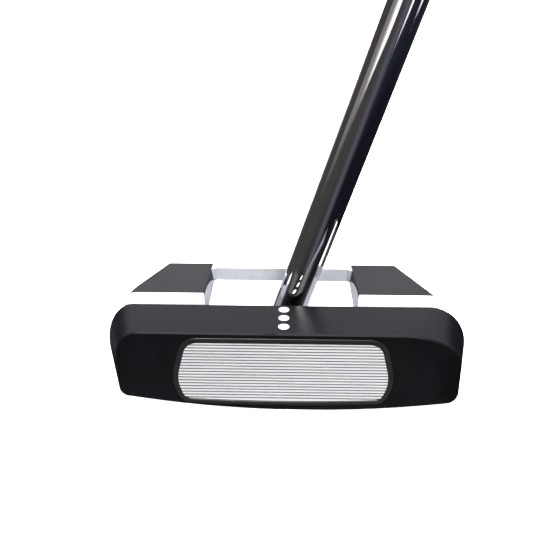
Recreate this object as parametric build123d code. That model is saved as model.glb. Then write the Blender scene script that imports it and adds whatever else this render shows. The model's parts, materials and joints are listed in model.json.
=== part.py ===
from build123d import *
import os
from math import cos, radians, sin, sqrt, tan

# A face-balanced mallet putter, right-handed, standing at address.
# Millimetres. +X towards the heel, +Y from the striking face to the back, +Z up.
# The origin is on the flat of the sole, under the middle of the front bar.

# ---- Driving dimensions ----
HEAD_HEIGHT = 23.0
LOFT = 3.0
FACE_Y = -8.0
BAR_REAR_Y = 8.0
BAR_FRONT_EDGE_R = 0.5
BAR_REAR_EDGE_R = 0.8

SOLE_CAMBER_R = 284.0
SOLE_LOW_X = 5.2
SOLE_FLAT_DEPTH = 0.2
SOLE_RELIEF = 6.0
SOLE_REACH = 60.0

WING_X = -0.8
WING_REAR_Y = 34.0
STRIPE_REAR_Y = 14.3
WING_INNER_LOW = 20.75
WING_INNER_FRONT = 21.3
WING_INNER_MIDDLE = 22.3
WING_INNER_REAR = 21.3
WING_OUTER_FRONT = 43.65
WING_OUTER_REAR = 34.7
WING_CORNER_R = 0.8
FRAME_HEIGHT = 4.1
PANEL_THICKNESS = 0.7
CROSSBAR_DEPTH = 3.0
CROSSBAR_DROP = 0.1
CROSSBAR_WEB = 0.8
SKIRT_LENGTH = 13.0
SKIRT_SHOULDER_LENGTH = 5.0
SKIRT_SHOULDER_DROP = 1.3
SKIRT_THICKNESS = 0.5
LOWER_WING_INSET = 2.8
LOWER_WING_REAR_Y = 31.5
LOWER_WING_EDGE_R = 2.0
UNDERSIDE_EDGE_R = 1.0
UNDERSIDE = -5.0
BODY_OVERLAP = 1.0

INSERT_HALF_TOP = 26.8
INSERT_HALF_WAIST = 30.0
INSERT_HALF_BOTTOM = 27.5
INSERT_TOP_Z = 21.8
INSERT_WAIST_Z = 9.0
INSERT_CORNER_Z = 1.9
INSERT_LOW_Z = 1.15
INSERT_TOP_R = 5.5
INSERT_WAIST_R = 12.0
INSERT_BOTTOM_R = 4.0
INSERT_RING_WIDTH = 1.65
INSERT_RING_HEIGHT = 3.6
INSERT_POCKET_DEPTH = 4.4
INSERT_THICKNESS = 3.2
RING_BEVEL = 0.35
GROOVE_COUNT = 19
GROOVE_PITCH = 0.88
GROOVE_WIDTH = 0.4
GROOVE_DEPTH = 0.25
GROOVE_LOWEST = 3.75

DOT_RADIUS = 1.43
DOT_DEPTH = 0.8
DOT_FIRST = 3.93
DOT_SPACING = 4.6
DOT_COUNT = 3
DOT_CLEARANCE = 0.01

SHAFT_LEAN = 17.5
SHAFT_FORWARD_LEAN = 2.26
SHAFT_CROSS_X = 3.2
SHAFT_CROSS_Y = 15.3
SHAFT_TIP_R = 4.7
SHAFT_WALL = 0.5
SHAFT_PARALLEL = 250.0
SHAFT_STEPS = 11
SHAFT_STEP_LENGTH = 36.0
SHAFT_STEP_RUN = 3.0
SHAFT_BUTT_R = 7.35
PUTTER_LENGTH = 889.0
CAP_THICKNESS = 3.0

POST_FOOT_LOW = 7.5
POST_FOOT_HEIGHT = 3.0
POST_FOOT_R = 5.6
POST_LENGTH = 26.0
POST_CHAMFER = 0.6
GLUE_GAP = 0.05
DECK_X = -3.5
DECK_HALF_WIDTH = 8.5
DECK_TOP = 9.0
DECK_REAR_Y = 25.0

GRIP_LENGTH = 267.0
GRIP_CORNER_R = 3.0
# Width, depth, distance from the axis to the flat, and shift of the oval away from the flat,
# at even steps from the lower end to the top.
GRIP_SECTIONS = (
    (19.5, 20.5, 8.8, 0.0),
    (22.2, 22.8, 9.1, 0.4),
    (25.0, 25.6, 9.4, 1.0),
    (26.5, 27.0, 9.72, 1.4),
)
CAP_EDGE_R = 1.5
CAP_SPIGOT_LENGTH = 8.0
CAP_VENT_R = 1.0
TAPE_THICKNESS = 0.25
TAPE_INSET = 3.0

WEIGHT_HALF_SPAN = 31.8
WEIGHT_Y = 20.0
WEIGHT_HEAD_R = 5.5
WEIGHT_HEAD_HEIGHT = 2.6
WEIGHT_SHANK_R = 3.5
WEIGHT_SHANK_LENGTH = 5.0
WASHER_THICKNESS = 0.5
WASHER_INSET = 0.2
PORT_RECESS = 0.5

SOLE_PLATE_HALF_LENGTH = 17.0
SOLE_PLATE_HALF_WIDTH = 5.0
SOLE_PLATE_THICKNESS = 1.0
SOLE_PLATE_X = 3.0
PLATE_SCREW_SPAN = 13.0

FRAME_SCREW_HALVES_AND_YS = ((34.5, 10.9), (28.6, 28.3))
FRAME_SCREW_HEAD_R = 2.2
FRAME_SCREW_HEAD_HEIGHT = 2.4
FRAME_SCREW_R = 1.25
FRAME_SCREW_KEY = 2.0
FRAME_SCREW_WEB = 5.8
FRAME_SCREW_BITE = 2.8
PLATE_SCREW_HEAD_R = 2.0
PLATE_SCREW_HEAD_HEIGHT = 0.7
PLATE_SCREW_R = 1.0
PLATE_SCREW_LENGTH = 4.0
PLATE_SCREW_KEY = 1.3
PLATE_SCREW_DEPTH = 0.1
HOSEL_SCREW_HEAD_R = 3.3
HOSEL_SCREW_HEAD_HEIGHT = 2.2
HOSEL_SCREW_R = 2.0
HOSEL_SCREW_LENGTH = 12.0
HOSEL_SCREW_KEY = 2.5
HOSEL_SCREW_SEAT = 4.0
WEIGHT_KEY = 4.0
WEIGHT_RING_OUTER_R = 4.2
WEIGHT_RING_INNER_R = 3.7
WEIGHT_RING_DEPTH = 0.3
SOCKET_SHARE = 0.6

HOLE_CLEARANCE = 0.05
SCREW_GAP = 0.3
CUT_PAST = 2.0
FAR = 200.0
BASE = (Align.CENTER, Align.CENTER, Align.MIN)

# ---- Shared places ----
FRAME_LOW = HEAD_HEIGHT - FRAME_HEIGHT - CROSSBAR_DROP
PANEL_LOW = HEAD_HEIGHT - PANEL_THICKNESS
CROSSBAR_TOP = HEAD_HEIGHT - CROSSBAR_DROP
CROSSBAR_FRONT_Y = WING_REAR_Y - CROSSBAR_DEPTH
SHAFT_START = POST_FOOT_LOW + POST_FOOT_HEIGHT
SHAFT_END = PUTTER_LENGTH - CAP_THICKNESS
GRIP_START = PUTTER_LENGTH - GRIP_LENGTH

face_plane = Plane(
    origin=(0, FACE_Y - HEAD_HEIGHT * tan(radians(LOFT)), 0),
    x_dir=(1, 0, 0),
    z_dir=(0, -cos(radians(LOFT)), sin(radians(LOFT))),
)
bar_rear_plane = Plane(origin=(0, BAR_REAR_Y, 0), x_dir=(1, 0, 0), z_dir=(0, -1, 0))

shaft_dir = Vector(tan(radians(SHAFT_LEAN)), -tan(radians(SHAFT_FORWARD_LEAN)), 1)
shaft_foot = Vector(SHAFT_CROSS_X, SHAFT_CROSS_Y, HEAD_HEIGHT) - shaft_dir * HEAD_HEIGHT
shaft_plane = Plane(origin=shaft_foot, x_dir=(1, 0, -tan(radians(SHAFT_LEAN))), z_dir=shaft_dir)


def camber(x):
    """Height of the cambered sole at x, before its lowest stretch is trimmed flat."""
    reach = x - SOLE_LOW_X
    return SOLE_CAMBER_R - sqrt(SOLE_CAMBER_R**2 - reach**2) - SOLE_FLAT_DEPTH


def sole_height(x, y):
    """Height of the sole at a place behind the bar, where it rises towards the back."""
    return camber(x) + (y - BAR_REAR_Y) * tan(radians(SOLE_RELIEF))


def below_floor():
    """Everything lower than the surface that the sole rests on."""
    return Pos(0, 0, -FAR / 2) * Box(FAR, FAR, FAR)


# ---- Front bar ----
def bar_profile(toe_top, toe_low, heel_top, heel_low):
    """Outline of the bar in x and z. Each corner is (centre x, centre z, radius in x)."""
    def quarter(corner, start, height):
        centre_x, centre_z, radius_x = corner
        return EllipticalCenterArc(
            (centre_x, centre_z), radius_x, height, start_angle=start, arc_size=90
        )

    heel_low_height = heel_low[1] - camber(heel_low[0])
    toe_low_height = toe_low[1] - camber(toe_low[0])
    heel_upper = quarter(heel_top, 0, HEAD_HEIGHT - heel_top[1])
    toe_upper = quarter(toe_top, 90, HEAD_HEIGHT - toe_top[1])
    toe_lower = quarter(toe_low, 180, toe_low_height)
    heel_lower = quarter(heel_low, 270, heel_low_height)
    edges = [
        heel_upper,
        Line(heel_upper @ 1, toe_upper @ 0),
        toe_upper,
        Line(toe_upper @ 1, toe_lower @ 0),
        toe_lower,
        ThreePointArc(toe_lower @ 1, (SOLE_LOW_X, -SOLE_FLAT_DEPTH), heel_lower @ 0),
        heel_lower,
        Line(heel_lower @ 1, heel_upper @ 0),
    ]
    return make_face(Wire(edges).edges())


def rear_profile():
    """Outline of the back of the bar."""
    return bar_profile(
        toe_top=(-42.0, 10.7, 7.8),
        toe_low=(-40.0, 10.0, 9.8),
        heel_top=(41.0, 10.5, 10.4),
        heel_low=(40.0, 9.8, 11.4),
    )


def front_bar():
    """Bar whose ends flare from the face to the back, with a lofted front."""
    front = bar_profile(
        toe_top=(-37.6, 16.9, 6.1),
        toe_low=(-41.0, 6.3, 2.7),
        heel_top=(30.0, 14.5, 16.8),
        heel_low=(43.8, 5.8, 3.0),
    )
    bar = loft([face_plane * front, bar_rear_plane * rear_profile()], ruled=True)
    front_edges = bar.faces().sort_by(Axis.Y)[0].edges()
    bar = fillet(front_edges, BAR_FRONT_EDGE_R)
    rear_edges = bar.faces().sort_by(Axis.Y)[-1].edges()
    bar = fillet(rear_edges, BAR_REAR_EDGE_R)
    return bar - below_floor()


# ---- Wings ----
def side_point(side, half, y):
    """Point of the wing outline on one side: side is -1 for the toe and +1 for the heel."""
    return (WING_X + side * half, y)


def inner_half(y, z=HEAD_HEIGHT):
    """Half the distance between the inner walls of the wings, which lean outwards to the top."""
    if y > STRIPE_REAR_Y:
        share = (WING_REAR_Y - y) / (WING_REAR_Y - STRIPE_REAR_Y)
        top = WING_INNER_REAR + (WING_INNER_MIDDLE - WING_INNER_REAR) * share
    else:
        share = (STRIPE_REAR_Y - y) / (STRIPE_REAR_Y - BAR_REAR_Y)
        top = WING_INNER_MIDDLE + (WING_INNER_FRONT - WING_INNER_MIDDLE) * share
    rise = (z - FRAME_LOW) / (HEAD_HEIGHT - FRAME_LOW)
    return WING_INNER_LOW + (top - WING_INNER_LOW) * rise


def outer_half(y):
    """Half the distance between the outer edges of the wings at y."""
    slope = (WING_OUTER_FRONT - WING_OUTER_REAR) / (WING_REAR_Y - STRIPE_REAR_Y)
    return min(WING_OUTER_FRONT, WING_OUTER_REAR + slope * (WING_REAR_Y - y))


def slab(points, low, high):
    """Upright prism on a closed outline in x and y."""
    outline = make_face(Polyline(*points, close=True).edges())
    return Pos(0, 0, low) * extrude(outline, high - low)


def window_space():
    """Space between the wings, wider at the top and widest where the stripes end."""
    ends = (BAR_REAR_Y - CUT_PAST, STRIPE_REAR_Y, WING_REAR_Y + CUT_PAST)
    outlines = []
    for z in (FRAME_LOW - CUT_PAST, HEAD_HEIGHT + CUT_PAST):
        toe = [side_point(-1, inner_half(y, z), y) for y in ends]
        heel = [side_point(1, inner_half(y, z), y) for y in reversed(ends)]
        outlines.append(Pos(0, 0, z) * make_face(Polyline(*toe, *heel, close=True).edges()))
    return loft(outlines, ruled=True)


def wing_slab(side, front_y, rear_y, low, high, inset=0.0):
    """Stretch of a wing between two places along y and two heights, with upright walls."""
    points = [
        side_point(side, WING_INNER_LOW + inset, front_y),
        side_point(side, outer_half(front_y), front_y),
    ]
    if front_y < STRIPE_REAR_Y < rear_y:
        points.append(side_point(side, outer_half(STRIPE_REAR_Y), STRIPE_REAR_Y))
    points.append(side_point(side, outer_half(rear_y), rear_y))
    points.append(side_point(side, WING_INNER_LOW + inset, rear_y))
    behind_bar = extrude(Plane.XZ * rear_profile(), FAR / 2, both=True)
    return slab(points, low, high) & behind_bar


def round_outer_corner(wing, side, rear_y, radius=WING_CORNER_R):
    """Round the upright edge at the outer back corner of a wing piece."""
    corner = Vector(*side_point(side, outer_half(rear_y), rear_y), HEAD_HEIGHT)
    upright = wing.edges().filter_by(Axis.Z).sort_by_distance(corner)[0]
    return fillet(upright, radius)


def skirt(side):
    """Part of a wing panel that hangs down its inner wall and tapers from the crossbar forward."""
    front_y = CROSSBAR_FRONT_Y - SKIRT_LENGTH
    strip = slab(
        [
            side_point(side, WING_INNER_LOW, front_y),
            side_point(side, inner_half(front_y) + SKIRT_THICKNESS, front_y),
            side_point(side, inner_half(CROSSBAR_FRONT_Y) + SKIRT_THICKNESS, CROSSBAR_FRONT_Y),
            side_point(side, WING_INNER_LOW, CROSSBAR_FRONT_Y),
        ],
        FRAME_LOW,
        PANEL_LOW,
    )
    shoulder = (CROSSBAR_FRONT_Y - SKIRT_SHOULDER_LENGTH, PANEL_LOW - SKIRT_SHOULDER_DROP)
    front = (front_y, PANEL_LOW)
    foot = (CROSSBAR_FRONT_Y, FRAME_LOW)
    edges = [
        ThreePointArc(front, shoulder, foot),
        Line(foot, (CROSSBAR_FRONT_Y, PANEL_LOW)),
        Line((CROSSBAR_FRONT_Y, PANEL_LOW), front),
    ]
    taper = Plane.YZ * make_face(Wire(edges).edges())
    return (strip & extrude(taper, FAR / 2, both=True)) - window_space()


def wing_panel(side):
    """Dark panel on the back two thirds of a wing, with its skirt."""
    plate = wing_slab(side, STRIPE_REAR_Y, WING_REAR_Y, PANEL_LOW, HEAD_HEIGHT)
    plate = round_outer_corner(plate, side, WING_REAR_Y)
    return plate - window_space() + skirt(side)


def stripe_panel(side):
    """White panel between the bar and the dark panel."""
    return wing_slab(side, BAR_REAR_Y, STRIPE_REAR_Y, PANEL_LOW, HEAD_HEIGHT) - window_space()


def frame_screw_places():
    """Centres of the screws that come up through the wings into the rear frame."""
    return [
        side_point(side, half, y)
        for side in (-1, 1)
        for half, y in FRAME_SCREW_HALVES_AND_YS
    ]


def crossbar():
    """Upright bar across the back, with a small web in each corner it makes with a wing."""
    corner = WING_INNER_LOW - CROSSBAR_WEB
    web_y = CROSSBAR_FRONT_Y - CROSSBAR_WEB
    half = [
        (corner, CROSSBAR_FRONT_Y),
        (WING_INNER_LOW, web_y),
        (WING_INNER_REAR + CROSSBAR_WEB, web_y),
        (WING_INNER_REAR + CROSSBAR_WEB, WING_REAR_Y),
    ]
    heel = [side_point(1, width, y) for width, y in half]
    toe = [side_point(-1, width, y) for width, y in reversed(half)]
    return slab(heel + toe, FRAME_LOW, CROSSBAR_TOP)


def rear_frame():
    """Two wing plates joined at the back by the crossbar, bored for its screws."""
    frame = None
    for side in (-1, 1):
        plate = wing_slab(side, BAR_REAR_Y, WING_REAR_Y, FRAME_LOW, PANEL_LOW)
        plate = round_outer_corner(plate, side, WING_REAR_Y) - window_space()
        frame = plate if frame is None else frame + plate
    frame = frame + crossbar()
    for side in (-1, 1):
        frame = frame - wing_panel(side)
    for x, y in frame_screw_places():
        hole = Cylinder(FRAME_SCREW_R + HOLE_CLEARANCE, FRAME_SCREW_BITE + SCREW_GAP, align=BASE)
        frame = frame - Pos(x, y, FRAME_LOW) * hole
    return frame


# ---- Fasteners, each with its outer head face at z = 0 and its shank along +z ----
def socket_screw(head_r, head_height, shank_r, shank_length, key):
    """Cap screw with a hexagon socket across its key size, and a small chamfer round its head."""
    head = Cylinder(head_r, head_height, align=BASE)
    head = chamfer(head.edges().filter_by(GeomType.CIRCLE).sort_by(Axis.Z)[0], head_r * 0.1)
    shank = Pos(0, 0, head_height) * Cylinder(shank_r, shank_length, align=BASE)
    socket = extrude(RegularPolygon(key / sqrt(3), 6), head_height * SOCKET_SHARE)
    return head + shank - socket


def frame_screw_set():
    """Four equal screws of the rear frame."""
    head_face = FRAME_LOW - FRAME_SCREW_WEB - FRAME_SCREW_HEAD_HEIGHT
    screw = socket_screw(
        FRAME_SCREW_HEAD_R,
        FRAME_SCREW_HEAD_HEIGHT,
        FRAME_SCREW_R,
        FRAME_SCREW_WEB + FRAME_SCREW_BITE,
        FRAME_SCREW_KEY,
    )
    return [Pos(x, y, head_face) * screw for x, y in frame_screw_places()]


# ---- Weights in the sole ----
def port_plane(side):
    """Plane on the sole at a weight, with its z axis pointing into the head."""
    x, y = side_point(side, WEIGHT_HALF_SPAN, WEIGHT_Y)
    slope_x = (x - SOLE_LOW_X) / SOLE_CAMBER_R
    slope_y = tan(radians(SOLE_RELIEF))
    return Plane(origin=(x, y, sole_height(x, y)), z_dir=(-slope_x, -slope_y, 1))


def weight_port(side):
    """Hollow for one weight: a counterbore for its head and washer, and a bore for its shank."""
    seat = PORT_RECESS + WEIGHT_HEAD_HEIGHT + WASHER_THICKNESS
    mouth = Pos(0, 0, -WEIGHT_HEAD_R) * Cylinder(
        WEIGHT_HEAD_R + HOLE_CLEARANCE, seat + WEIGHT_HEAD_R, align=BASE
    )
    bore = Pos(0, 0, seat) * Cylinder(
        WEIGHT_SHANK_R + HOLE_CLEARANCE, WEIGHT_SHANK_LENGTH + SCREW_GAP, align=BASE
    )
    return port_plane(side) * (mouth + bore)


def sole_weight(side):
    """Screw-in weight with a hexagon socket and a shallow ring turned in its head."""
    weight = socket_screw(
        WEIGHT_HEAD_R,
        WEIGHT_HEAD_HEIGHT,
        WEIGHT_SHANK_R,
        WEIGHT_SHANK_LENGTH + WASHER_THICKNESS,
        WEIGHT_KEY,
    )
    ring = Cylinder(WEIGHT_RING_OUTER_R, WEIGHT_RING_DEPTH, align=BASE)
    ring = ring - Cylinder(WEIGHT_RING_INNER_R, WEIGHT_RING_DEPTH, align=BASE)
    return port_plane(side) * Pos(0, 0, PORT_RECESS) * (weight - ring)


def weight_washer(side):
    """Washer between a weight's head and the floor of its counterbore."""
    washer = Cylinder(WEIGHT_HEAD_R - WASHER_INSET, WASHER_THICKNESS, align=BASE)
    washer = washer - Cylinder(WEIGHT_SHANK_R + HOLE_CLEARANCE, WASHER_THICKNESS, align=BASE)
    return port_plane(side) * Pos(0, 0, PORT_RECESS + WEIGHT_HEAD_HEIGHT) * washer


# ---- Striking face ----
def insert_outline():
    """Outline of the face insert's ring in the plane of the face."""
    right = [
        (INSERT_HALF_BOTTOM, INSERT_CORNER_Z),
        (INSERT_HALF_WAIST, INSERT_WAIST_Z),
        (INSERT_HALF_TOP, INSERT_TOP_Z),
    ]
    left = [(-x, z) for x, z in reversed(right)]
    edges = Polyline(*right, *left).edges()
    edges.append(ThreePointArc(left[-1], (0, INSERT_LOW_Z), right[0]).edge())
    outline = make_face(edges)
    by_height = outline.vertices().group_by(Axis.Y)
    outline = fillet(by_height[-1], INSERT_TOP_R)
    waist = [v for v in outline.vertices() if abs(v.Y - INSERT_WAIST_Z) < 0.01]
    outline = fillet(waist, INSERT_WAIST_R)
    bottom = [v for v in outline.vertices() if abs(v.Y - INSERT_CORNER_Z) < 0.01]
    return fillet(bottom, INSERT_BOTTOM_R)


def into_face(outline, near, far):
    """Prism behind the face plane, from one depth to another."""
    return face_plane * Pos(0, 0, -far) * extrude(outline, far - near)


def insert_core():
    """Outline of the grooved plate inside the ring."""
    return offset(insert_outline(), -INSERT_RING_WIDTH)


def insert_ring():
    """Ring round the striking plate, bevelled on both front edges."""
    ring = into_face(insert_outline(), 0, INSERT_RING_HEIGHT)
    ring = ring - into_face(insert_core(), -CUT_PAST, INSERT_RING_HEIGHT + CUT_PAST)
    front = ring.faces().sort_by(Axis.Y)[0]
    return chamfer(front.edges(), RING_BEVEL)


def face_insert():
    """Striking plate with level grooves milled across it."""
    core = offset(insert_core(), -HOLE_CLEARANCE)
    plate = into_face(core, 0, INSERT_THICKNESS)
    for number in range(GROOVE_COUNT):
        height = GROOVE_LOWEST + number * GROOVE_PITCH
        groove = Pos(0, height, 0) * Box(2 * INSERT_HALF_WAIST, GROOVE_WIDTH, 2 * GROOVE_DEPTH)
        plate = plate - face_plane * groove
    return plate


def insert_backing():
    """Soft pad on the floor of the pocket, behind the plate."""
    core = offset(insert_core(), -HOLE_CLEARANCE)
    return into_face(core, INSERT_THICKNESS, INSERT_POCKET_DEPTH)


# ---- Dots on the top of the bar ----
def dot_set(depth, radius):
    """Three discs let into the top of the bar in a line from front to back."""
    dots = []
    for number in range(DOT_COUNT):
        y = FACE_Y + DOT_FIRST + number * DOT_SPACING
        dots.append(Pos(0, y, HEAD_HEIGHT - depth) * Cylinder(radius, depth, align=BASE))
    return dots


# ---- Sole plate ----
def sole_plate_blank():
    """Upright prism on the outline of the sole plate, a slot shape along x."""
    outline = SlotOverall(2 * SOLE_PLATE_HALF_LENGTH, 2 * SOLE_PLATE_HALF_WIDTH)
    height = SOLE_PLATE_THICKNESS + 2 * CUT_PAST
    return Pos(SOLE_PLATE_X, 0, -CUT_PAST) * extrude(outline, height)


def camber_section(height, edge_z):
    """Section in x and z between the sole's camber, raised by a height, and a level line."""
    left_x = SOLE_LOW_X - SOLE_REACH
    right_x = SOLE_LOW_X + SOLE_REACH
    left = (left_x, camber(left_x) + height)
    right = (right_x, camber(right_x) + height)
    arc = ThreePointArc(left, (SOLE_LOW_X, camber(SOLE_LOW_X) + height), right)
    level = Polyline(right, (right_x, edge_z), (left_x, edge_z), left)
    return make_face([arc.edge(), *level.edges()])


def above_camber(height):
    """Everything under the bar's top and above the sole's camber raised by a height."""
    return extrude(Plane.XZ * camber_section(height, HEAD_HEIGHT), FAR / 2, both=True)


def plate_screw_places():
    """Centres of the two screws of the sole plate."""
    return [(SOLE_PLATE_X - PLATE_SCREW_SPAN, 0), (SOLE_PLATE_X + PLATE_SCREW_SPAN, 0)]


def plate_screw_face(x):
    """Height of the outer head face of a sole plate screw at x."""
    return max(0, camber(x)) + PLATE_SCREW_DEPTH


def plate_screw_set():
    """Two equal flat screws, sunk in the sole plate."""
    screw = socket_screw(
        PLATE_SCREW_HEAD_R,
        PLATE_SCREW_HEAD_HEIGHT,
        PLATE_SCREW_R,
        PLATE_SCREW_LENGTH,
        PLATE_SCREW_KEY,
    )
    return [Pos(x, y, plate_screw_face(x)) * screw for x, y in plate_screw_places()]


def plate_screw_holes():
    """Counterbores and bores for the sole plate's screws."""
    bore_length = PLATE_SCREW_HEAD_HEIGHT + PLATE_SCREW_LENGTH + SCREW_GAP
    head = Pos(0, 0, -CUT_PAST) * Cylinder(
        PLATE_SCREW_HEAD_R + HOLE_CLEARANCE, PLATE_SCREW_HEAD_HEIGHT + CUT_PAST, align=BASE
    )
    bore = Cylinder(PLATE_SCREW_R + HOLE_CLEARANCE, bore_length, align=BASE)
    return [Pos(x, y, plate_screw_face(x)) * (head + bore) for x, y in plate_screw_places()]


def sole_plate(bar):
    """Thin plate that follows the camber of the sole, with its two screw holes."""
    plate = (sole_plate_blank() & bar) - above_camber(SOLE_PLATE_THICKNESS)
    for hole in plate_screw_holes():
        plate = plate - hole
    return plate


# ---- Hosel ----
def hosel_post():
    """Steel post with a round foot, tapped from below, that the shaft is glued over."""
    foot = Pos(0, 0, POST_FOOT_LOW) * Cylinder(POST_FOOT_R, POST_FOOT_HEIGHT, align=BASE)
    top = POST_FOOT_LOW + POST_FOOT_HEIGHT
    radius = SHAFT_TIP_R - SHAFT_WALL - GLUE_GAP
    stem = Pos(0, 0, top) * Cylinder(radius, POST_LENGTH, align=BASE)
    stem = chamfer(stem.edges().filter_by(GeomType.CIRCLE).sort_by(Axis.Z)[-1], POST_CHAMFER)
    tapped = Pos(0, 0, POST_FOOT_LOW) * Cylinder(
        HOSEL_SCREW_R + HOLE_CLEARANCE, HOSEL_SCREW_LENGTH, align=BASE
    )
    return shaft_plane * (foot + stem - tapped)


def hosel_screw():
    """Screw from the sole that holds the post down on the deck."""
    screw = socket_screw(
        HOSEL_SCREW_HEAD_R,
        HOSEL_SCREW_HEAD_HEIGHT,
        HOSEL_SCREW_R,
        HOSEL_SCREW_LENGTH,
        HOSEL_SCREW_KEY,
    )
    return shaft_plane * Pos(0, 0, HOSEL_SCREW_SEAT - HOSEL_SCREW_HEAD_HEIGHT) * screw


def hosel_hollow():
    """Pocket for the foot of the post, and the stepped hole for its screw."""
    pocket = Pos(0, 0, POST_FOOT_LOW) * Cylinder(
        POST_FOOT_R + HOLE_CLEARANCE, POST_FOOT_HEIGHT + DECK_TOP, align=BASE
    )
    through = Cylinder(HOSEL_SCREW_R + HOLE_CLEARANCE, POST_FOOT_LOW, align=BASE)
    head = Pos(0, 0, UNDERSIDE) * Cylinder(
        HOSEL_SCREW_HEAD_R + HOLE_CLEARANCE, HOSEL_SCREW_SEAT - UNDERSIDE, align=BASE
    )
    return shaft_plane * (pocket + through + head)


# ---- Head body ----
def soften_underside(part):
    """Round the bottom edges of a solid behind the bar."""
    facing_down = [face for face in part.faces() if face.normal_at().Z < 0]
    bottom = max(facing_down, key=lambda face: face.area)
    return fillet([e for e in bottom.edges() if e.center().Y > BAR_REAR_Y], UNDERSIDE_EDGE_R)


def lower_wing(side, sole_cut):
    """Body under one wing, from the bar nearly to the back of the frame."""
    wing = wing_slab(
        side, BAR_REAR_Y - BODY_OVERLAP, LOWER_WING_REAR_Y, UNDERSIDE, FRAME_LOW, LOWER_WING_INSET
    )
    wing = wing - sole_cut
    uprights = [e for e in wing.edges().filter_by(Axis.Z) if e.center().Y > STRIPE_REAR_Y]
    return soften_underside(fillet(uprights, LOWER_WING_EDGE_R))


def deck(sole_cut):
    """Tongue with a round end behind the bar, which carries the hosel post."""
    front = BAR_REAR_Y - BODY_OVERLAP
    nose = DECK_REAR_Y - DECK_HALF_WIDTH
    middle = (front + nose) / 2
    outline = Pos(DECK_X, middle) * Rectangle(2 * DECK_HALF_WIDTH, nose - front)
    outline = outline + Pos(DECK_X, nose) * Circle(DECK_HALF_WIDTH)
    block = Pos(0, 0, UNDERSIDE) * extrude(outline, DECK_TOP - UNDERSIDE)
    return soften_underside(block - sole_cut)


def under_sole():
    """Everything under the sole behind the bar, which rises towards the back."""
    rise = Vector(0, cos(radians(SOLE_RELIEF)), sin(radians(SOLE_RELIEF)))
    start = Vector(0, BAR_REAR_Y, 0) - rise * SOLE_REACH / 4
    plane = Plane(origin=start, x_dir=(1, 0, 0), z_dir=(0, -1, 0))
    return extrude(plane * camber_section(0, -HEAD_HEIGHT), SOLE_REACH, dir=rise)


def head_body(bar):
    """Bar, wings and deck as one casting, with every pocket, port and hole cut in it."""
    sole_cut = under_sole()
    body = bar + lower_wing(-1, sole_cut) + lower_wing(1, sole_cut) + deck(sole_cut)
    body = body - below_floor()
    body = body - into_face(insert_outline(), -CUT_PAST, INSERT_RING_HEIGHT)
    body = body - into_face(insert_core(), 0, INSERT_POCKET_DEPTH)
    for dot in dot_set(DOT_DEPTH, DOT_RADIUS + DOT_CLEARANCE):
        body = body - dot
    for side in (-1, 1):
        body = body - weight_port(side)
    for x, y in frame_screw_places():
        web_low = FRAME_LOW - FRAME_SCREW_WEB
        head = Cylinder(
            FRAME_SCREW_HEAD_R + HOLE_CLEARANCE, web_low - UNDERSIDE, align=BASE
        )
        bore = Cylinder(FRAME_SCREW_R + HOLE_CLEARANCE, FRAME_SCREW_WEB, align=BASE)
        body = body - Pos(x, y, UNDERSIDE) * head - Pos(x, y, web_low) * bore
    body = body - (sole_plate_blank() - above_camber(SOLE_PLATE_THICKNESS))
    for hole in plate_screw_holes():
        body = body - hole
    return body - hosel_hollow()


# ---- Shaft and grip, in the shaft's own frame with z along the tube ----
def shaft_radius_points():
    """Corners of the tube's outside, from the tip to the butt, as radius and height."""
    points = [(SHAFT_TIP_R, SHAFT_START)]
    height = SHAFT_START + SHAFT_PARALLEL
    growth = (SHAFT_BUTT_R - SHAFT_TIP_R) / SHAFT_STEPS
    radius = SHAFT_TIP_R
    for _ in range(SHAFT_STEPS):
        points.append((radius, height))
        radius += growth
        points.append((radius, height + growth * SHAFT_STEP_RUN))
        height += SHAFT_STEP_LENGTH
    points.append((SHAFT_BUTT_R, SHAFT_END))
    return points


def shaft():
    """Stepped steel tube of even wall."""
    outside = shaft_radius_points()
    inside = [(radius - SHAFT_WALL, height) for radius, height in reversed(outside)]
    section = make_face(Polyline(*outside, *inside, close=True).edges())
    return shaft_plane * revolve(Plane.XZ * section, Axis.Z)


def grip_section(height, width, depth, flat, back_shift):
    """Cross-section of the grip: an ellipse with a flat front on the -x side."""
    oval = Pos(back_shift, 0) * Ellipse(depth / 2, width / 2)
    keep = Pos(FAR / 2 - flat, 0) * Rectangle(FAR, FAR)
    section = oval & keep
    corners = section.vertices().group_by(Axis.X)[0]
    return Pos(0, 0, height) * fillet(corners, GRIP_CORNER_R)


def grip_solid():
    """Outer shape of the grip, from its lower end to its top."""
    steps = len(GRIP_SECTIONS) - 1
    rise = SHAFT_END - GRIP_START
    sections = [
        grip_section(GRIP_START + rise * number / steps, *sizes)
        for number, sizes in enumerate(GRIP_SECTIONS)
    ]
    return loft(sections)


def grip_sleeve():
    """Rubber grip, open at both ends, over the taped butt of the shaft."""
    bore = Pos(0, 0, GRIP_START - CUT_PAST) * Cylinder(
        SHAFT_BUTT_R + TAPE_THICKNESS, GRIP_LENGTH + 2 * CUT_PAST, align=BASE
    )
    return shaft_plane * (grip_solid() - bore)


def grip_tape():
    """Layer of tape between the shaft and the grip."""
    length = SHAFT_END - GRIP_START - 2 * TAPE_INSET
    outer = Cylinder(SHAFT_BUTT_R + TAPE_THICKNESS, length, align=BASE)
    inner = Cylinder(SHAFT_BUTT_R, length, align=BASE)
    return shaft_plane * Pos(0, 0, GRIP_START + TAPE_INSET) * (outer - inner)


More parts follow.
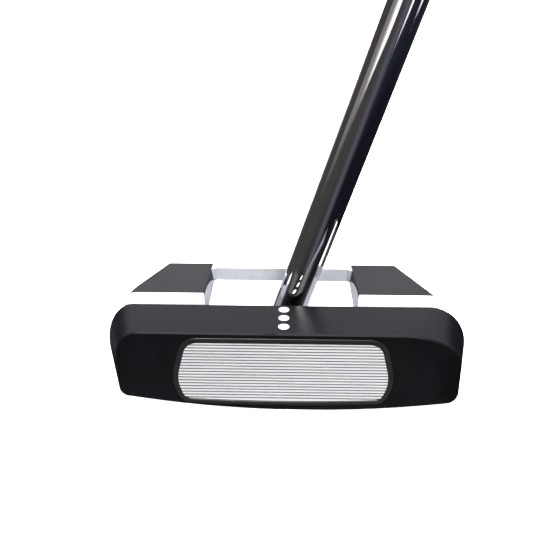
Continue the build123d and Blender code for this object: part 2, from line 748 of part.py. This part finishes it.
def grip_cap():
    """Cap on the end of the grip, with a spigot inside the tube and a vent hole."""
    cap = extrude(grip_section(SHAFT_END, *GRIP_SECTIONS[-1]), CAP_THICKNESS)
    top_edges = cap.faces().sort_by(Axis.Z)[-1].edges()
    cap = fillet(top_edges, CAP_EDGE_R)
    spigot_start = SHAFT_END - CAP_SPIGOT_LENGTH
    spigot_r = SHAFT_BUTT_R - SHAFT_WALL - HOLE_CLEARANCE
    cap = cap + Pos(0, 0, spigot_start) * Cylinder(spigot_r, CAP_SPIGOT_LENGTH, align=BASE)
    vent = Cylinder(CAP_VENT_R, CAP_SPIGOT_LENGTH + CAP_THICKNESS, align=BASE)
    return shaft_plane * (cap - Pos(0, 0, spigot_start) * vent)


# ---- Write every piece ----
def pieces():
    """Every piece of the putter by name, each a list of its solids."""
    bar = front_bar()
    return {
        "head_body": [head_body(bar)],
        "rear_frame": [rear_frame()],
        "frame_screws": frame_screw_set(),
        "wing_panel_toe": [wing_panel(-1)],
        "wing_panel_heel": [wing_panel(1)],
        "stripe_panel_toe": [stripe_panel(-1)],
        "stripe_panel_heel": [stripe_panel(1)],
        "alignment_dots": dot_set(DOT_DEPTH, DOT_RADIUS),
        "face_insert": [face_insert()],
        "insert_frame": [insert_ring()],
        "insert_backing": [insert_backing()],
        "sole_weight_toe": [sole_weight(-1)],
        "sole_weight_heel": [sole_weight(1)],
        "weight_washers": [weight_washer(-1), weight_washer(1)],
        "sole_plate": [sole_plate(bar)],
        "sole_plate_screws": plate_screw_set(),
        "hosel_post": [hosel_post()],
        "hosel_screw": [hosel_screw()],
        "shaft": [shaft()],
        "grip_tape": [grip_tape()],
        "grip_sleeve": [grip_sleeve()],
        "grip_cap": [grip_cap()],
    }


os.makedirs("parts", exist_ok=True)
for name, solids in pieces().items():
    bodies = [solid for shape in solids for solid in shape.solids()]
    whole = bodies[0] if len(bodies) == 1 else Compound(children=bodies)
    export_step(whole, f"parts/{name}.step")
    print(name, len(bodies), "solids")
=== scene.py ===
import json
import math

import bmesh
import bpy
from mathutils import Matrix, Vector


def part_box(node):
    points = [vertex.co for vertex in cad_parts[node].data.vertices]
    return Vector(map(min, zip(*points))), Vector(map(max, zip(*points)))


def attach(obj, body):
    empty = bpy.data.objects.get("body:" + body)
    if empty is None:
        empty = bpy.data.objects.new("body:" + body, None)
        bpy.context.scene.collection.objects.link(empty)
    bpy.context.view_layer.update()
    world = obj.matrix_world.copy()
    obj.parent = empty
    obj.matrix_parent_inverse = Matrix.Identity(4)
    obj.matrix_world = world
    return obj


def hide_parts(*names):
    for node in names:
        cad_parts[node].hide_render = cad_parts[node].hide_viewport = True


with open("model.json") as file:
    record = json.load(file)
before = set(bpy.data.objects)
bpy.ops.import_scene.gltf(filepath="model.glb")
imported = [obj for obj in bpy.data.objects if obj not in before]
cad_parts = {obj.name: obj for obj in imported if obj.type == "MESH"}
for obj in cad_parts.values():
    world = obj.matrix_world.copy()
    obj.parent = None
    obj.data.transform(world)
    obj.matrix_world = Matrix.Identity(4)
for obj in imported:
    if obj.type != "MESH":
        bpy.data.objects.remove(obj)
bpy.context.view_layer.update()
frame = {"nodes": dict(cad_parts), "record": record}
nodes = frame["nodes"]
mounts = {m["name"]: m for m in frame["record"]["mounts"]}
MM = 0.001

# ---- Camera, in metres and degrees ----
CAMERA_PLACE = (0.0001, -0.16824, 0.11927)
CAMERA_DOWN = 26.70
CAMERA_YAW = -0.418
CAMERA_ROLL = 0.507
CAMERA_LENS = 46.52
CAMERA_SENSOR = 36.0
CAMERA_NEAREST = 0.01
CAMERA_FARTHEST = 50.0


def make_camera():
    """Camera looking along +Y and down at the head, with a slight roll."""
    down, yaw, roll = (math.radians(a) for a in (CAMERA_DOWN, CAMERA_YAW, CAMERA_ROLL))
    level = math.cos(down)
    ahead = Vector((math.sin(yaw) * level, math.cos(yaw) * level, -math.sin(down)))
    right = Vector((math.cos(yaw), -math.sin(yaw), 0.0))
    up = right.cross(ahead)
    rolled_right = right * math.cos(roll) + up * math.sin(roll)
    rolled_up = up * math.cos(roll) - right * math.sin(roll)
    data = bpy.data.cameras.new("camera")
    data.lens = CAMERA_LENS
    data.sensor_width = CAMERA_SENSOR
    data.clip_start = CAMERA_NEAREST
    data.clip_end = CAMERA_FARTHEST
    camera = bpy.data.objects.new("camera", data)
    turn = Matrix((rolled_right, rolled_up, -ahead)).transposed().to_4x4()
    camera.matrix_world = Matrix.Translation(CAMERA_PLACE) @ turn
    bpy.context.scene.collection.objects.link(camera)
    bpy.context.scene.camera = camera


# ---- Node helpers ----
NOISE_LOW = 0.3
NOISE_HIGH = 0.7
NOISE_ROUGHNESS = 0.55
MIX_FACTOR, MIX_FIRST, MIX_SECOND, MIX_COLOUR_OUT = 0, 6, 7, 2


class Nodes:
    """A material's or world's node tree, with short calls to add and join nodes."""

    def __init__(self, owner):
        owner.use_nodes = True
        self.tree = owner.node_tree
        self.tree.nodes.clear()

    def add(self, kind, inputs=None, **settings):
        node = self.tree.nodes.new(kind)
        for name, value in settings.items():
            setattr(node, name, value)
        for name, value in (inputs or {}).items():
            self.feed(node.inputs[name], value)
        return node

    def feed(self, socket, value):
        if isinstance(value, bpy.types.NodeSocket):
            self.tree.links.new(value, socket)
        else:
            socket.default_value = value

    def place(self):
        return self.add("ShaderNodeTexCoord").outputs["Object"]

    def split(self, vector):
        """The x, y and z of a vector."""
        outputs = self.add("ShaderNodeSeparateXYZ", {"Vector": vector}).outputs
        return outputs["X"], outputs["Y"], outputs["Z"]

    def stretched(self, scale):
        mapping = self.add("ShaderNodeMapping", {"Vector": self.place(), "Scale": scale})
        return mapping.outputs["Vector"]

    def noise(self, vector, scale, detail=3.0, roughness=NOISE_ROUGHNESS):
        inputs = {"Vector": vector, "Scale": scale, "Detail": detail, "Roughness": roughness}
        return self.add("ShaderNodeTexNoise", inputs).outputs["Fac"]

    def fit(self, value, low, high, to_low=0.0, to_high=1.0):
        """A value moved from one range to another, and held inside it."""
        ranges = {"From Min": low, "From Max": high, "To Min": to_low, "To Max": to_high}
        return self.add("ShaderNodeMapRange", {"Value": value, **ranges}).outputs["Result"]

    def spread(self, noise, to_low=0.0, to_high=1.0):
        """The usual range of a noise, fitted to another range."""
        return self.fit(noise, NOISE_LOW, NOISE_HIGH, to_low, to_high)

    def math(self, operation, first, second):
        node = self.add("ShaderNodeMath", operation=operation)
        self.feed(node.inputs[0], first)
        self.feed(node.inputs[1], second)
        return node.outputs[0]

    def blend(self, factor, first, second):
        """The first colour where the factor is 0 and the second where it is 1."""
        node = self.add("ShaderNodeMix", data_type="RGBA")
        self.feed(node.inputs[MIX_FACTOR], factor)
        self.feed(node.inputs[MIX_FIRST], first)
        self.feed(node.inputs[MIX_SECOND], second)
        return node.outputs[MIX_COLOUR_OUT]

    def bump(self, height, distance, strength):
        inputs = {"Height": height, "Distance": distance, "Strength": strength}
        return self.add("ShaderNodeBump", inputs).outputs["Normal"]

    def end(self, kind, shader):
        """Output node of a material or a world, fed by a shader."""
        output = self.add(kind)
        self.tree.links.new(shader.outputs[0], output.inputs["Surface"])

    def surface(self, **inputs):
        """Principled surface, its inputs given with underscores for spaces."""
        named = {name.replace("_", " "): value for name, value in inputs.items()}
        self.end("ShaderNodeOutputMaterial", self.add("ShaderNodeBsdfPrincipled", named))


def grey(value, blue=1.0):
    return (value, value, value * blue, 1.0)


def scaled(colour, share):
    return tuple(c * share for c in colour[:3]) + (1.0,)


def new_material(name):
    material = bpy.data.materials.new(name)
    return material, Nodes(material)


# ---- Materials: noise scales are per metre, and each bump is a depth and a strength ----
COAT_GRAIN_SCALE = 9000.0
COAT_MOTTLE_SCALE = 120.0
COAT_BUMP = (0.02 * MM, 0.6)
COAT_ROUGH_SPREAD = 0.04

TOOL_MARK_SCALE = 2600.0
TOOL_MARK_LENGTH_SCALE = 60.0
TOOL_MARK_ROUGHNESS = 0.7
METAL_PATCH_SCALE = 260.0
METAL_DARKEST = 0.88
METAL_BUMP = (0.006 * MM, 0.8)
METAL_ROUGH_SPREAD = 0.06

FACE_LOFT = 3.0
FACE_METALLIC = 0.75
FACE_MARK_LENGTH_SCALE = 90.0
FACE_DARKEST = 0.95
FACE_BUMP = (0.004 * MM, 0.6)
FACE_ROUGH_SPREAD = 0.05
# Depths below the lands where the painted shade of the grooves begins and where it is full.
GROOVE_EDGE = 0.03 * MM
GROOVE_FLOOR = 0.18 * MM

PAINT_FILM_SCALE = 900.0
PAINT_FILM_RANGE = (0.35, 0.7)
PAINT_DARKEST = 0.97
PAINT_BUMP = (0.008 * MM, 0.5)
PAINT_ROUGH_SPREAD = 0.04

CHROME_HAZE_SCALE = 350.0
CHROME_COLOURS = (grey(0.62, 1.03), grey(0.68, 1.03))
CHROME_ROUGHNESS = (0.035, 0.07)

RUBBER_GRAIN_SCALE = 3500.0
RUBBER_WEAR_SCALE = 60.0
RUBBER_WEAR_RANGE = (0.35, 0.75)
RUBBER_LIGHTEST = 1.5
RUBBER_BUMP = (0.04 * MM, 0.7)
RUBBER_SMOOTHER = 0.08
RUBBER_ROUGHER = 0.05


def coated_metal(name, dark, light, rough, ior):
    """Matte coat over metal, with a fine orange-peel grain and faint mottling."""
    material, n = new_material(name)
    place = n.place()
    grain = n.noise(place, COAT_GRAIN_SCALE, detail=2.0)
    mottle = n.noise(place, COAT_MOTTLE_SCALE, detail=4.0)
    n.surface(
        Base_Color=n.blend(n.spread(mottle), dark, light),
        Roughness=n.spread(mottle, rough - COAT_ROUGH_SPREAD, rough + COAT_ROUGH_SPREAD),
        IOR=ior,
        Normal=n.bump(grain, *COAT_BUMP),
    )
    return material


def milled_metal(name, colour, rough, along, metallic=1.0):
    """Bare metal with fine tool marks along one axis: 0 for x, 1 for y, 2 for z."""
    material, n = new_material(name)
    scale = [TOOL_MARK_SCALE] * 3
    scale[along] = TOOL_MARK_LENGTH_SCALE
    marks = n.noise(n.stretched(scale), 1.0, roughness=TOOL_MARK_ROUGHNESS)
    patches = n.noise(n.place(), METAL_PATCH_SCALE)
    n.surface(
        Base_Color=n.blend(n.spread(patches), scaled(colour, METAL_DARKEST), colour),
        Metallic=metallic,
        Roughness=n.spread(marks, rough - METAL_ROUGH_SPREAD, rough + METAL_ROUGH_SPREAD),
        Normal=n.bump(marks, *METAL_BUMP),
    )
    return material


def grooved_face(name, colour, groove_shade_colour, rough):
    """Milled face plate, bright on the lands, with painted shade on the floors of its grooves."""
    material, n = new_material(name)
    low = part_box("face_insert")[0]
    lean = math.radians(FACE_LOFT)
    land = low.y * math.cos(lean) - low.z * math.sin(lean)
    _, y, z = n.split(n.place())
    forward = n.math("MULTIPLY", y, math.cos(lean))
    depth = n.math("SUBTRACT", forward, n.math("MULTIPLY", z, math.sin(lean)))
    # Painted shade: below the lands the colour turns dark, standing in for the shade of the groove
    # walls.
    groove_shade = n.fit(depth, land + GROOVE_EDGE, land + GROOVE_FLOOR)
    scale = (FACE_MARK_LENGTH_SCALE, TOOL_MARK_SCALE, TOOL_MARK_SCALE)
    marks = n.noise(n.stretched(scale), 1.0, roughness=TOOL_MARK_ROUGHNESS)
    bright = n.blend(n.spread(marks), scaled(colour, FACE_DARKEST), colour)
    n.surface(
        Base_Color=n.blend(groove_shade, bright, groove_shade_colour),
        Metallic=FACE_METALLIC,
        Roughness=n.spread(marks, rough - FACE_ROUGH_SPREAD, rough + FACE_ROUGH_SPREAD),
        Normal=n.bump(marks, *FACE_BUMP),
    )
    return material


def white_paint(name, colour, rough):
    """Satin white paint with a faint uneven film."""
    material, n = new_material(name)
    film = n.noise(n.place(), PAINT_FILM_SCALE)
    thickness = n.fit(film, *PAINT_FILM_RANGE)
    n.surface(
        Base_Color=n.blend(thickness, scaled(colour, PAINT_DARKEST), colour),
        Roughness=n.spread(film, rough - PAINT_ROUGH_SPREAD, rough + PAINT_ROUGH_SPREAD),
        Normal=n.bump(film, *PAINT_BUMP),
    )
    return material


def chrome(name):
    """Polished chrome plate with a faint uneven haze."""
    material, n = new_material(name)
    haze = n.noise(n.place(), CHROME_HAZE_SCALE)
    n.surface(
        Base_Color=n.blend(n.spread(haze), *CHROME_COLOURS),
        Metallic=1.0,
        Roughness=n.spread(haze, *CHROME_ROUGHNESS),
    )
    return material


def moulded_rubber(name, colour, rough):
    """Rubber, or another soft matte stuff, with a fine grain and patches of light wear."""
    material, n = new_material(name)
    place = n.place()
    grain = n.noise(place, RUBBER_GRAIN_SCALE)
    wear = n.noise(place, RUBBER_WEAR_SCALE)
    worn = n.fit(wear, *RUBBER_WEAR_RANGE)
    n.surface(
        Base_Color=n.blend(worn, colour, scaled(colour, RUBBER_LIGHTEST)),
        Roughness=n.spread(wear, rough - RUBBER_SMOOTHER, rough + RUBBER_ROUGHER),
        Normal=n.bump(grain, *RUBBER_BUMP),
    )
    return material


MATERIALS = {
    "head_black": coated_metal("head_black", grey(0.0022, 1.3), grey(0.004, 1.3), 0.31, 1.2),
    "bare_aluminium": milled_metal("bare_aluminium", (0.62, 0.64, 0.68, 1.0), 0.5, 0, 0.5),
    "dark_panel": coated_metal("dark_panel", grey(0.012, 1.05), grey(0.018, 1.05), 0.5, 1.24),
    "white_panel": white_paint("white_panel", grey(0.88), 0.4),
    "white_dot": white_paint("white_dot", grey(0.92), 0.3),
    # The insert's groove floors take a painted shade, grey 0.16.
    "insert_silver": grooved_face("insert_silver", grey(0.93), grey(0.16), 0.5),
    "insert_black": coated_metal("insert_black", grey(0.008, 1.1), grey(0.012, 1.1), 0.34, 1.32),
    "backing_rubber": moulded_rubber("backing_rubber", grey(0.05), 0.7),
    "weight_steel": milled_metal("weight_steel", (0.56, 0.56, 0.58, 1.0), 0.3, 1),
    "washer_plastic": moulded_rubber("washer_plastic", grey(0.06), 0.6),
    "plate_aluminium": milled_metal("plate_aluminium", (0.62, 0.63, 0.66, 1.0), 0.34, 0),
    "screw_steel": milled_metal("screw_steel", (0.3, 0.3, 0.32, 1.0), 0.35, 2),
    "post_steel": milled_metal("post_steel", (0.5, 0.5, 0.52, 1.0), 0.35, 2),
    "shaft_chrome": chrome("shaft_chrome"),
    "tape_paper": moulded_rubber("tape_paper", (0.6, 0.55, 0.44, 1.0), 0.85),
    "grip_rubber": moulded_rubber("grip_rubber", grey(0.028), 0.62),
    "cap_rubber": moulded_rubber("cap_rubber", grey(0.035), 0.6),
}


def paint_nodes():
    """Every CAD node takes the material of its slot in the record."""
    for part in frame["record"]["subparts"]:
        node = nodes[part["node"]]
        node.data.materials.clear()
        node.data.materials.append(MATERIALS[part["material_slot"]])


# ---- Shaft: radii, and heights along its axis from the ground ----
axis = Vector(mounts["shaft"]["axis"]).normalized()
PARALLEL_LENGTH = mounts["shaft"]["dims"]["length_mm"] * MM
TIP_RADIUS = mounts["shaft"]["dims"]["r_mm"] * MM
TIP_HEIGHT = 10.5 * MM
TIP_CHAMFER = 0.1 * MM
CLUB_LENGTH = 889.0 * MM
CAP_THICKNESS = 3.0 * MM
BUTT_RADIUS = 7.35 * MM
SHAFT_WALL = 0.5 * MM
STEP_COUNT = 11
STEP_LENGTH = 36.0 * MM
STEP_ROUND = 0.35 * MM
STEP_ROUND_RISE = 0.15
STEP_SLOPE = 3
SHAFT_SEGMENTS = 160
shaft_tip = Vector(mounts["shaft"]["pos_m"]) - axis * PARALLEL_LENGTH / 2
shaft_foot = shaft_tip - axis * TIP_HEIGHT
side_x = Vector((axis.z, 0.0, -axis.x)).normalized()
side_y = axis.cross(side_x).normalized()


def on_club(x, y, height):
    """Place in the row frame of a point given across the shaft and along it from the ground."""
    return shaft_foot + side_x * x + side_y * y + axis * height


def turns(count):
    """Angles of evenly spaced points round a circle."""
    return [2 * math.pi * k / count for k in range(count)]


def round_ring(radius, height, count):
    return [on_club(radius * math.cos(t), radius * math.sin(t), height) for t in turns(count)]


def closed_skin(loops):
    """Mesh of a closed tube: each loop is joined to the next, and the last to the first."""
    bm = bmesh.new()
    rings = [[bm.verts.new(point) for point in loop] for loop in loops]
    for first, second in zip(rings, rings[1:] + rings[:1]):
        for k in range(len(first)):
            after = (k + 1) % len(first)
            bm.faces.new((first[k], first[after], second[after], second[k]))
    return bm


def new_object(name, bm):
    mesh = bpy.data.meshes.new(name)
    bm.to_mesh(mesh)
    bm.free()
    piece = bpy.data.objects.new(name, mesh)
    bpy.context.scene.collection.objects.link(piece)
    return piece


def finish_piece(name, bm, slot, replaced, smooth_angle):
    """Object from a mesh, in its slot's material, standing for a CAD node."""
    bmesh.ops.recalc_face_normals(bm, faces=bm.faces)
    piece = new_object(name, bm)
    piece.data.materials.append(MATERIALS[slot])
    piece.data.shade_smooth()
    piece.data.set_sharp_from_angle(angle=math.radians(smooth_angle))
    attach(piece, "root")
    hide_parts(replaced)


def shaft_profile():
    """Outside of the tube as radius and height, with each step turned to a soft shoulder."""
    growth = (BUTT_RADIUS - TIP_RADIUS) / STEP_COUNT
    rise = growth * STEP_SLOPE
    rounding = growth * STEP_ROUND_RISE
    points = [(TIP_RADIUS - TIP_CHAMFER, TIP_HEIGHT), (TIP_RADIUS, TIP_HEIGHT + TIP_CHAMFER)]
    height = TIP_HEIGHT + PARALLEL_LENGTH
    radius = TIP_RADIUS
    for _ in range(STEP_COUNT):
        points.append((radius, height - STEP_ROUND))
        points.append((radius + rounding, height))
        radius += growth
        points.append((radius - rounding, height + rise))
        points.append((radius, height + rise + STEP_ROUND))
        height += STEP_LENGTH
    points.append((BUTT_RADIUS, CLUB_LENGTH - CAP_THICKNESS))
    return points


def make_shaft():
    """Tube with a real bore, in finer rings than the CAD node's mesh."""
    outside = shaft_profile()
    inside = [(radius - SHAFT_WALL, height) for radius, height in reversed(outside)]
    loops = [round_ring(radius, height, SHAFT_SEGMENTS) for radius, height in outside + inside]
    finish_piece("shaft_tube", closed_skin(loops), "shaft_chrome", "shaft", 35.0)


# ---- Grip ----
GRIP_LENGTH = 267.0 * MM
GRIP_CORNER = 1.6 * MM
# Width, depth, distance from the axis to the flat, and shift of the oval away from the flat,
# in millimetres, at even steps from the lower end to the top.
GRIP_SECTIONS = (
    (19.5, 20.5, 8.8, 0.0),
    (22.2, 22.8, 9.1, 0.4),
    (25.0, 25.6, 9.4, 1.0),
    (26.5, 27.0, 9.72, 1.4),
)
GRIP_BORE = 7.6 * MM
GRIP_RINGS = 520
GRIP_AROUND = 132
GRIP_EDGE_RINGS = 3
GRIP_EDGE_TUCK = 0.5 * MM
GRIP_PLAIN_END = 9.0 * MM
GRIP_PLAIN_FADE = 0.8
RIB_PITCH = 5.0 * MM
RIB_DEPTH = 0.5 * MM
RIB_SLOPE = (0.1, 0.7)
RIB_HALF_WIDTH = 4.2 * MM
RIB_END_FADE = 0.85
RIBS_START = 0.12
RIBS_FULL = 0.125
PIT_PITCH = 6.8 * MM
PIT_COLUMNS = 11
PIT_DEPTH = 0.42 * MM
PIT_SLOPE = (0.55, 0.85)
# Where the ribs begin and the pits end, from -1 at the grip's back to 1 at its front.
RIBS_EDGE = (0.72, 0.76)
PITS_EDGE = (0.55, 0.6)


def grip_size(share):
    """The grip's section at a share of its length, between the two nearest of GRIP_SECTIONS."""
    place = share * (len(GRIP_SECTIONS) - 1)
    first = min(int(place), len(GRIP_SECTIONS) - 2)
    rest = place - first
    pair = zip(GRIP_SECTIONS[first], GRIP_SECTIONS[first + 1])
    return [(a + (b - a) * rest) * MM for a, b in pair]


def ramp(value, low, high):
    """Smooth step from 0 at low to 1 at high."""
    t = min(1.0, max(0.0, (value - low) / (high - low)))
    return t * t * (3 - 2 * t)


def between_ends(height, length, low, high):
    """0 near both ends of a length, and 1 between them."""
    return ramp(height, low, high) * ramp(length - height, low, high)


def rib_share(y, height, length):
    """Share of a rib's depth on the flat, with y from the flat's middle."""
    wave = ramp(math.cos(2 * math.pi * height / RIB_PITCH), *RIB_SLOPE)
    across = 1 - ramp(abs(y), RIB_HALF_WIDTH * RIB_END_FADE, RIB_HALF_WIDTH)
    return wave * across * between_ends(height, length, RIBS_START * length, RIBS_FULL * length)


def pit_share(turn, height):
    """Share of a pit's depth, in rows whose pits are staggered."""
    row = 2 * math.pi * height / PIT_PITCH
    column = turn * PIT_COLUMNS
    even_rows = math.cos(row) ** 2 * math.cos(column) ** 2
    odd_rows = math.sin(row) ** 2 * math.sin(column) ** 2
    return ramp(even_rows + odd_rows, *PIT_SLOPE)


def grip_relief(turn, y, height, length):
    """Depth of the moulded pattern: ribs on the flat front, and rows of pits on the rest."""
    patterned = between_ends(height, length, GRIP_PLAIN_END * GRIP_PLAIN_FADE, GRIP_PLAIN_END)
    front = -math.cos(turn)
    ribs = ramp(front, *RIBS_EDGE) * rib_share(y, height, length) * RIB_DEPTH
    pits = (1 - ramp(front, *PITS_EDGE)) * pit_share(turn, height) * PIT_DEPTH
    return patterned * (ribs + pits)


def grip_ring(ring, start, length):
    """One ring of the grip's outside: an oval with a flat front, less the pattern's depth."""
    share = ring / (GRIP_RINGS - 1)
    height = share * length
    width, depth, flat, shift = grip_size(share)
    tuck = GRIP_EDGE_TUCK * (1 - min(ring / GRIP_EDGE_RINGS, 1))
    points = []
    for turn in turns(GRIP_AROUND):
        x = shift + depth / 2 * math.cos(turn)
        y = width / 2 * math.sin(turn)
        x = (x - flat + math.hypot(x + flat, GRIP_CORNER)) / 2
        relief = grip_relief(turn, y, height, length) + tuck
        scale = 1 - relief / math.hypot(x - shift, y)
        points.append(on_club(shift + (x - shift) * scale, y * scale, start + height))
    return points


def make_grip():
    """Grip with its moulded pattern, closed at both ends down to the bore."""
    length = GRIP_LENGTH - CAP_THICKNESS
    start = CLUB_LENGTH - GRIP_LENGTH
    loops = [grip_ring(ring, start, length) for ring in range(GRIP_RINGS)]
    loops += [round_ring(GRIP_BORE, height, GRIP_AROUND) for height in (start + length, start)]
    finish_piece("grip_moulded", closed_skin(loops), "grip_rubber", "grip_sleeve", 50.0)


# ---- Stage, in metres ----
FLOOR_SIZE = 12.0
FLOOR_GLOW = 0.85

# Glowing sheets seen only in reflections, which paint pale reflections into the shaft and the head.
SHEET_COLOUR = (0.9, 0.91, 1.0, 1.0)
GROUND_SHEET = ((-0.05, -0.05), (0.045, -0.05), (0.045, 0.055), (-0.05, 0.055))
GROUND_SHEET_HEIGHT = -0.002
GROUND_SHEET_GLOW = 0.5
WALL_SHEET_GAP = 0.3 * MM
WALL_SHEET_FRONT = 0.009
WALL_SHEET_BACK = 0.03
HEEL_SHEET_GLOW = 0.75
TOE_SHEET_GLOW = 0.45

# The room's light by direction: it is dark where z is low and has a surround where z is high,
# pale behind the object and dim in front of it.
SURROUND_Z = (0.2, 0.4)
SURROUND_FRONT = (0.2, 0.2, 0.22, 1.0)
SURROUND_BACK = (1.75, 1.7, 1.9, 1.0)
BEHIND_Y = (-0.2, 0.5)
ROOM_TOE = (0.075, 0.069, 0.066, 1.0)
ROOM_HEEL = (0.036, 0.039, 0.058, 1.0)
ROOM_X = (-0.5, 0.3)
ROOM_LOW_Z = (-0.2, -0.5)
ROOM_LOW_SHARE = 0.3

# Reflected windows of light as bearing from, bearing to, height from, height to, softness and
# colour. Bearings are in degrees round the vertical, 0 towards the front and 90 to the heel.
WINDOWS = (
    (-72.0, -56.0, 0.02, 0.6, 0.05, (0.7, 0.64, 0.66)),
    (-60.0, -40.0, 0.01, 0.6, 0.012, (1.8, 1.75, 1.8)),
    (-94.0, -70.0, -0.02, 0.6, 0.05, (0.3, 0.28, 0.28)),
    (11.0, 21.0, -0.275, 0.5, 0.01, (1.9, 1.85, 1.8)),
    (66.0, 78.0, -0.405, 0.4, 0.01, (1.8, 1.8, 1.8)),
    (-16.0, 8.0, -0.9, 0.5, 0.18, (0.13, 0.125, 0.16)),
    (-166.0, -148.0, -0.5, -0.02, 0.03, (0.5, 0.5, 0.5)),
)

# Area lights by name, as place, target, width, height and watts.
LIGHTS = {
    "overhead": ((0.0, 0.1, 1.8), (0.0, 0.0, 0.0), 1.6, 1.6, 62.0),
    "front_toe": ((-0.23, -0.9, 1.5), (0.0, 0.0, 0.01), 0.42, 0.14, 24.0),
    "front_low": ((0.3, -1.6, 0.75), (0.0, 0.0, 0.01), 0.7, 0.7, 29.0),
}


def stage_object(name, bm, material):
    piece = new_object(name, bm)
    piece.data.materials.append(material)
    return piece


def make_floor():
    """White ground that only the camera sees, so that the metals mirror the room instead."""
    material, n = new_material("floor_white")
    n.surface(
        Base_Color=grey(0.9),
        Roughness=0.9,
        Emission_Color=grey(1.0),
        Emission_Strength=FLOOR_GLOW,
    )
    bm = bmesh.new()
    bmesh.ops.create_grid(bm, x_segments=1, y_segments=1, size=FLOOR_SIZE / 2)
    floor = stage_object("floor", bm, material)
    floor.visible_glossy = False
    floor.visible_diffuse = False


def reflected_sheet(name, corners, glow):
    """Glowing sheet near the head, seen only in reflections: a painted reflection in the metals."""
    material, n = new_material(name)
    shader = n.add("ShaderNodeEmission", {"Color": SHEET_COLOUR, "Strength": glow})
    n.end("ShaderNodeOutputMaterial", shader)
    bm = bmesh.new()
    bm.faces.new([bm.verts.new(corner) for corner in corners])
    sheet = stage_object(name, bm, material)
    sheet.visible_camera = False
    sheet.visible_diffuse = False
    sheet.visible_shadow = False


def wall_sheet(name, x, top, glow):
    """Upright glowing sheet beside a wing's inner wall, from the ground to the frame's lower side,
    seen only in reflections as a painted reflection.
    """
    near, far = WALL_SHEET_FRONT, WALL_SHEET_BACK
    sides = ((near, 0.0), (far, 0.0), (far, top), (near, top))
    reflected_sheet(name, [(x, y, z) for y, z in sides], glow)


def area_light(name, place, target, width, height, watts):
    data = bpy.data.lights.new(name, "AREA")
    data.shape = "RECTANGLE"
    data.size = width
    data.size_y = height
    data.energy = watts
    light = bpy.data.objects.new(name, data)
    light.location = place
    aim = Vector(target) - Vector(place)
    light.rotation_euler = aim.to_track_quat("-Z", "Y").to_euler()
    light.visible_camera = False
    bpy.context.scene.collection.objects.link(light)


def band(n, value, low, high, soft):
    """1 between two limits, 0 outside them, with soft edges."""
    rise = n.fit(value, low - soft, low + soft)
    fall = n.fit(value, high - soft, high + soft, 1.0, 0.0)
    return n.math("MULTIPLY", rise, fall)


def make_world():
    """Dark room with a pale surround behind the object, windows of light, and white behind all."""
    world = bpy.data.worlds.new("studio")
    bpy.context.scene.world = world
    n = Nodes(world)
    x, y, z = n.split(n.add("ShaderNodeTexCoord").outputs["Generated"])
    bearing = n.math("ARCTAN2", x, n.math("MULTIPLY", y, -1.0))

    room = n.blend(n.fit(x, *ROOM_X), ROOM_TOE, ROOM_HEEL)
    room = n.blend(n.fit(z, *ROOM_LOW_Z, 0.0, 1.0 - ROOM_LOW_SHARE), room, grey(0.0))
    high = n.fit(z, *SURROUND_Z)
    light = n.blend(high, room, SURROUND_FRONT)
    behind = n.math("MULTIPLY", high, n.fit(y, *BEHIND_Y))
    light = n.blend(behind, light, SURROUND_BACK)
    for left, right, bottom, top, soft, colour in WINDOWS:
        across = band(n, bearing, math.radians(left), math.radians(right), soft)
        window = n.math("MULTIPLY", across, band(n, z, bottom, top, soft))
        light = n.blend(window, light, (*colour, 1.0))
    seen = n.add("ShaderNodeLightPath").outputs["Is Camera Ray"]
    light = n.blend(seen, light, grey(1.0))
    n.end("ShaderNodeOutputWorld", n.add("ShaderNodeBackground", {"Color": light, "Strength": 1.0}))


def light_stage():
    make_floor()
    # Painted reflections: glowing sheets under the head and beside the wings' inner walls.
    ground = [(x, y, GROUND_SHEET_HEIGHT) for x, y in GROUND_SHEET]
    reflected_sheet("ground_sheet", ground, GROUND_SHEET_GLOW)
    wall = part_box("rear_frame")
    inner_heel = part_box("stripe_panel_heel")[0].x - WALL_SHEET_GAP
    inner_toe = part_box("stripe_panel_toe")[1].x + WALL_SHEET_GAP
    wall_sheet("sheet_heel", inner_heel, wall[0].z, HEEL_SHEET_GLOW)
    wall_sheet("sheet_toe", inner_toe, wall[0].z, TOE_SHEET_GLOW)
    make_world()
    for name, settings in LIGHTS.items():
        area_light(name, *settings)
    bpy.context.scene.view_settings.view_transform = "Standard"


make_camera()
paint_nodes()
make_shaft()
make_grip()
light_stage()
